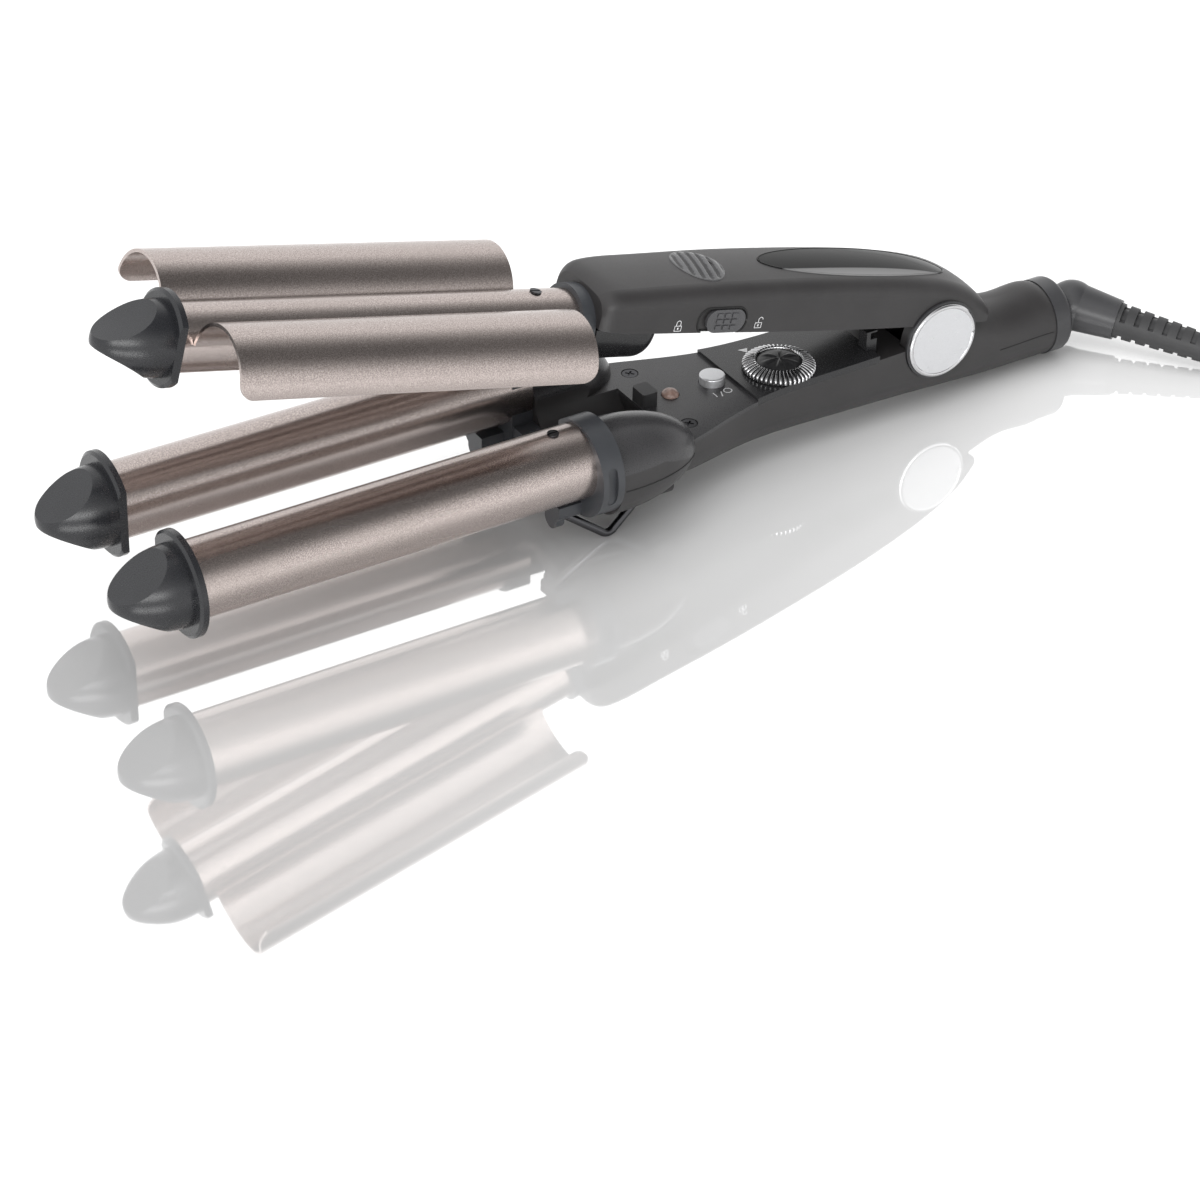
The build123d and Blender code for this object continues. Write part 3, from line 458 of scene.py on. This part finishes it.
def padlock(x, opened):
    """A padlock's outline: a box with a keyhole, and a shackle that is shut or swung open."""
    def place(u, v):
        spot = on_arm_side(x + u, PADLOCK_Z + v)
        return spot + Vector((0, -PROUD, 0))

    half, top, foot = 1.15, -0.15, -1.75
    body = band([(-half, top), (half, top)], 0.16) + band([(-half, foot), (half, foot)], 0.16)
    body += band([(-half, top), (-half, foot)], 0.16) + band([(half, top), (half, foot)], 0.16)
    body += band([(0, -0.65), (0, -1.3)], 0.4)
    shackle = arc(0, 0.75, 0.72, 180, 0)
    shackle = [(-0.72, -0.1)] + shackle + ([] if opened else [(0.72, -0.1)])
    if opened:
        shackle = [(u + 0.55, v + 0.1) for u, v in shackle]
    patch("padlock_open" if opened else "padlock_shut", body + band(shackle, 0.18), place,
          "upper_arm")


padlock(156.0, False)
padlock(184.5, True)


DECK_TOP, PANEL_TOP = -4.3, -3.3


def deck_place(x, y, z):
    return lambda u, v: at(x + u, y + v, z) + Vector((0, 0, PROUD))


patch("mark_on", band([(0, -1.2), (0, 1.2)], 0.32) + band([(1.5, -1.7), (2.5, 0.8)], 0.3),
      deck_place(180.2, -6.85, DECK_TOP), "handle")
patch("mark_off", band(arc(0, 0, 1.2, 0, 360, 24), 0.34), deck_place(184.8, -6.5, DECK_TOP),
      "handle")
patch("dial_marker", [[(0.2, -1.3), (-1.5, 1.3), (1.6, 0.9)]],
      deck_place(200.6, 8.6, PANEL_TOP), "handle")


# ------------------------------------------------------------------ dial

DIAL = (204.0, -4.5)


def ring_mesh(name, profile, segments, shift, material):
    """A turned profile [(radius, height)...] about the dial's axis, shaped by shift()."""
    points, faces = [], []
    for radius, height in profile:
        for number in range(segments):
            angle = 2 * math.pi * number / segments
            r, z = shift(radius, height, angle)
            points.append(at(DIAL[0] + r * math.cos(angle), DIAL[1] + r * math.sin(angle), z))
    for ring in range(len(profile) - 1):
        for number in range(segments):
            a = ring * segments + number
            b = ring * segments + (number + 1) % segments
            faces.append((a, b, b + segments, a + segments))
    faces.append(tuple(reversed(range(segments))))
    last = (len(profile) - 1) * segments
    faces.append(tuple(range(last, last + segments)))
    return new_mesh(name, points, faces, material)


KNURLS = 46
KNURL_STEPS = 8
SHADED_KNURL_STEPS = (0, 1, 6, 7)
KNURLED_RINGS = range(1, 10)
KNURLED_FROM_R, KNURLED_FROM_Z = 7.3, -2.95


def knurl(radius, height, angle):
    """Rounded ribs with sharp valleys over the rim and the slope."""
    if radius < KNURLED_FROM_R or height < KNURLED_FROM_Z:
        return radius, height
    valley = abs(math.sin(KNURLS * angle / 2)) ** 0.7
    return radius - 1.1 * (1 - valley), height - 0.7 * (1 - valley)


wheel_profile = [(3.0, -11.3), (3.0, -3.0), (10.8, -3.0), (11.0, -2.8), (11.0, -1.9), (10.7, -1.4),
                 (9.9, -0.95), (9.0, -0.55), (8.2, -0.25), (7.5, -0.08), (7.2, -0.08),
                 (6.85, -0.4), (6.8, -1.0), (2.0, -1.0)]
wheel = ring_mesh("dial_knurled", wheel_profile, KNURLS * KNURL_STEPS, knurl, CHROME)
# the faces in the knurls' valleys get a dark material: painted shade
wheel.data.materials.append(KNURL_VALLEY_SHADE)
for polygon in wheel.data.polygons[:-2]:
    ring, number = divmod(polygon.index, KNURLS * KNURL_STEPS)
    if number % KNURL_STEPS in SHADED_KNURL_STEPS and ring in KNURLED_RINGS:
        polygon.material_index = 1
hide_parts("dial_wheel")
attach(wheel, "dial")


CAP_RADIUS = 6.7


def petal(radius, height, angle):
    """Six raised petals round a small hub."""
    share = radius / CAP_RADIUS
    swell = max(0.0, math.cos(6 * angle)) ** 0.5 * math.sin(math.pi * min(1, share * 1.05)) ** 1.2
    return radius, height + 0.4 * swell


cap_profile = [(CAP_RADIUS, -1.0), (CAP_RADIUS - 0.05, -0.75)]
cap_profile += [(CAP_RADIUS * math.cos(t), -1.0 + 1.25 * math.sin(t))
                for t in [math.radians(12 + 6.0 * n) for n in range(13)]]
cap = ring_mesh("dial_cap_petals", cap_profile, 96, petal, CAP)
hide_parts("dial_cap")
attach(cap, "dial")


# ------------------------------------------------------------------ trim on the upper arm

INSET = (169.0, 7.4, 9.6)      # middle, half length, half width
INSET_MARGIN = 1.2
RIB_PITCH = 2.8
RIB_SLANT = 0.28
RIB_HEIGHT = 0.0005
INSET_RISE = 0.00025
INSET_DEPTH = 0.0009


def arm_crown():
    """Height of the arm's top near the inset: a line along it and a crown across it."""
    x, half_x, half_y = INSET
    front = on_arm_top(x - half_x - INSET_MARGIN, 0)
    rear = on_arm_top(x + half_x + INSET_MARGIN, 0)
    edge = on_arm_top(x, -half_y - 0.9)
    fall = ((front + rear) / 2 - edge).z / ((half_y + 0.9) / 1000) ** 2
    return front, rear, fall


def inset_mesh():
    """An oval with slanting ribs that follows the arm's crown, with a skirt below its edge and painted
    shade in the ribs' valleys.
    """
    x, half_x, half_y = INSET
    front, rear, fall = arm_crown()
    normal = (at_open(x, 0, 20) - at_open(x, 0, 0)).normalized()
    rings, sides = 30, 72
    points, faces, waves = [], [], []
    for ring in range(rings + 2):
        share = min(1, ring / rings)
        for number in range(sides):
            angle = 2 * math.pi * number / sides
            u, v = half_x * share * math.cos(angle), half_y * share * math.sin(angle)
            along = (u + half_x + INSET_MARGIN) / (2 * half_x + 2 * INSET_MARGIN)
            spot = front.lerp(rear, along)
            spot.y = v / 1000
            wave = math.sin(2 * math.pi * (u - RIB_SLANT * v) / RIB_PITCH)
            wave *= min(1, 3.5 * (1 - share))
            waves.append(wave)
            rise = RIB_HEIGHT * wave + INSET_RISE
            if ring > rings:
                rise = -INSET_DEPTH
            points.append(spot + normal * (rise - fall * (v / 1000) ** 2))
    for ring in range(rings + 1):
        for number in range(sides):
            a = ring * sides + number
            b = ring * sides + (number + 1) % sides
            faces.append((a, a + sides, b + sides, b))
    piece = new_mesh("wavy_inset", points, faces, RIBBED)
    piece.data.materials.append(RIB_VALLEY_SHADE)
    # faces in the rib valleys get a dark material: painted shade
    for polygon in piece.data.polygons:
        middle = sum(waves[corner] for corner in polygon.vertices) / 4
        if middle < -0.1:
            polygon.material_index = 1
    return piece


inset = inset_mesh()
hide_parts("ribbed_inset")
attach(inset, "upper_arm")


PLATE_OVAL = (226.0, 34.9, 9.4)      # middle, half length, half width

middle, half_x, half_y = PLATE_OVAL
rim_line = []
for number in range(145):
    angle = 2 * math.pi * number / 144
    rim_line.append(on_arm_top(middle + half_x * math.cos(angle), half_y * math.sin(angle)))
plate_rim = tube_mesh("plate_rim", rim_line, 0.00028, GLOSS_PAINTED_REFLECTION, sides=8)
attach(plate_rim, "upper_arm")

RECESS = (171.2, 5.5, 16.6, 8.0, 3.6)      # middle x, middle z, length, height, corner radius
FLANK_LOWEST = 2.4                         # the flank's lower edge, where the recess runs out


def recess_painted_shade():
    """A dark tube round the recess that the lock slider moves in: painted shade along the recess's
    edge.
    """
    x, z, length, height, corner = RECESS
    line = []
    for number in range(97):
        angle = 2 * math.pi * number / 96
        c, s = math.cos(angle), math.sin(angle)
        u = math.copysign(length / 2 - corner, c) + corner * c
        v = math.copysign(height / 2 - corner, s) + corner * s
        line.append(on_arm_side(x + 1.03 * u, max(z + 1.05 * v, FLANK_LOWEST)))
    edge = tube_mesh("recess_painted_shade", line, 0.00032, SEAM_SHADE, sides=8)
    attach(edge, "upper_arm")


recess_painted_shade()

BEVEL_RADIUS = 11.25
BEVEL_Y = 14.0

for word, side in (("near", -1), ("far", 1)):
    bevel_line = []
    for number in range(97):
        angle = 2 * math.pi * number / 96
        bevel_line.append(at(HINGE[0] + BEVEL_RADIUS * math.cos(angle), side * BEVEL_Y,
                             HINGE[1] + BEVEL_RADIUS * math.sin(angle)))
    bevel = tube_mesh(f"disc_bevel_{word}", bevel_line, 0.00078, CHROME, sides=16)
    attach(bevel, "handle")


# ------------------------------------------------------------------ seams

def seam(name, places, radius=0.00016):
    line = tube_mesh(name, places, radius, SEAM_SHADE, sides=6)
    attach(line, "handle")


CASES = ["lower_shell", "tail_cover", "deck_cover"]
TAIL_SEAM_Z = -16.1
POD_SEAM_Z = -5.6
POD_FRONT = 131

for word, side in (("near", -1), ("far", 1)):
    tail = [first_hit(CASES, at(x, side * 60, TAIL_SEAM_Z), at(x, 0, TAIL_SEAM_Z))
            for x in range(281, 303)]
    seam(f"tail_seam_{word}", tail)
    pod_line = []
    for x in range(POD_FRONT, 160):
        start = at(x, side * 70, POD_SEAM_Z - 0.02 * (x - POD_FRONT))
        pod_line.append(first_hit(CASES, start, at(x, 0, POD_SEAM_Z)))
    seam(f"pod_seam_{word}", pod_line, 0.0002)


# ------------------------------------------------------------------ floor and light

MIRROR_SHARE = (-0.2, 0.12, 0.68, 0.42)      # from x, to x, and the mirror's share at each


def floor_material():
    """White table top with a clear mirror image in it, stronger towards the tips."""
    m = Nodes("white gloss table")
    faint = m.noise(0.3, 2.0)
    matt = m.add("ShaderNodeBsdfDiffuse")
    m.link(m.ramp(faint, [(0.2, 0.80), (0.8, 0.82)]), matt.inputs["Color"])
    mirror = m.add("ShaderNodeBsdfGlossy")
    mirror.inputs["Roughness"].default_value = 0.03
    mirror.inputs["Color"].default_value = (1, 1, 1, 1)
    mixed = m.add("ShaderNodeMixShader")
    split = m.add("ShaderNodeSeparateXYZ")
    m.link(m.place, split.inputs[0])
    share = m.add("ShaderNodeMapRange")
    for socket, value in zip(("From Min", "From Max", "To Min", "To Max"), MIRROR_SHARE):
        share.inputs[socket].default_value = value
    m.link(split.outputs["X"], share.inputs["Value"])
    m.link(share.outputs["Result"], mixed.inputs["Fac"])
    m.link(matt.outputs["BSDF"], mixed.inputs[1])
    m.link(mirror.outputs["BSDF"], mixed.inputs[2])
    m.link(mixed.outputs["Shader"], m.tree.nodes["Material Output"].inputs["Surface"])
    return m.material


TABLE_HALF = 6
TABLE_DROP = 0.0002

table_top = new_mesh("table_top", [(-TABLE_HALF, -TABLE_HALF, 0), (TABLE_HALF, -TABLE_HALF, 0),
                                   (TABLE_HALF, TABLE_HALF, 0), (-TABLE_HALF, TABLE_HALF, 0)],
                     [(0, 1, 2, 3)], floor_material())
table_top.location.z = -TABLE_DROP


def soft_light(name, place, target, size, power, mirrored=False):
    data = bpy.data.lights.new(name, "AREA")
    data.shape = "RECTANGLE"
    data.size, data.size_y = size
    data.energy = power
    lamp = bpy.data.objects.new(name, data)
    bpy.context.scene.collection.objects.link(lamp)
    lamp.location = place
    lamp.rotation_euler = (Vector(target) - Vector(place)).to_track_quat("-Z", "Y").to_euler()
    lamp.visible_glossy = mirrored


OVERHEAD = 42
SIDE_FILL = 6
FRONT_BOX = 15

soft_light("overhead", (-0.1, -0.1, 1.8), (0, 0, 0), (2.4, 2.4), OVERHEAD)
soft_light("left front", (-1.6, -0.7, 0.9), (0, 0, 0.03), (1.0, 1.0), SIDE_FILL)
soft_light("front box", (-1.05, -1.55, 0.62), (-0.05, 0, 0.05), (1.6, 0.55), FRONT_BOX, True)

WORLD_LIGHT = 1.12
CEILING = 0.14
DARKEST_WAY = (0.52, -0.36, 0.775)
DARK_FROM, DARK_TO = 0.68, 0.96


def studio_world():
    """White all round, with one dim patch overhead that gives the metal its dark bands."""
    world = bpy.data.worlds.new("studio")
    bpy.context.scene.world = world
    world.use_nodes = True
    tree = world.node_tree
    ways = tree.nodes.new("ShaderNodeTexCoord")
    toward = tree.nodes.new("ShaderNodeVectorMath")
    toward.operation = "DOT_PRODUCT"
    toward.inputs[1].default_value = DARKEST_WAY
    ramp = tree.nodes.new("ShaderNodeValToRGB")
    low, high = ramp.color_ramp.elements
    low.position, high.position = DARK_FROM, DARK_TO
    low.color = (1, 1, 1, 1)
    high.color = (CEILING, CEILING, CEILING, 1)
    background = tree.nodes["Background"]
    background.inputs["Strength"].default_value = WORLD_LIGHT
    tree.links.new(ways.outputs["Generated"], toward.inputs[0])
    tree.links.new(toward.outputs["Value"], ramp.inputs["Fac"])
    tree.links.new(ramp.outputs["Color"], background.inputs["Color"])


studio_world()
bpy.context.scene.view_settings.view_transform = "Standard"
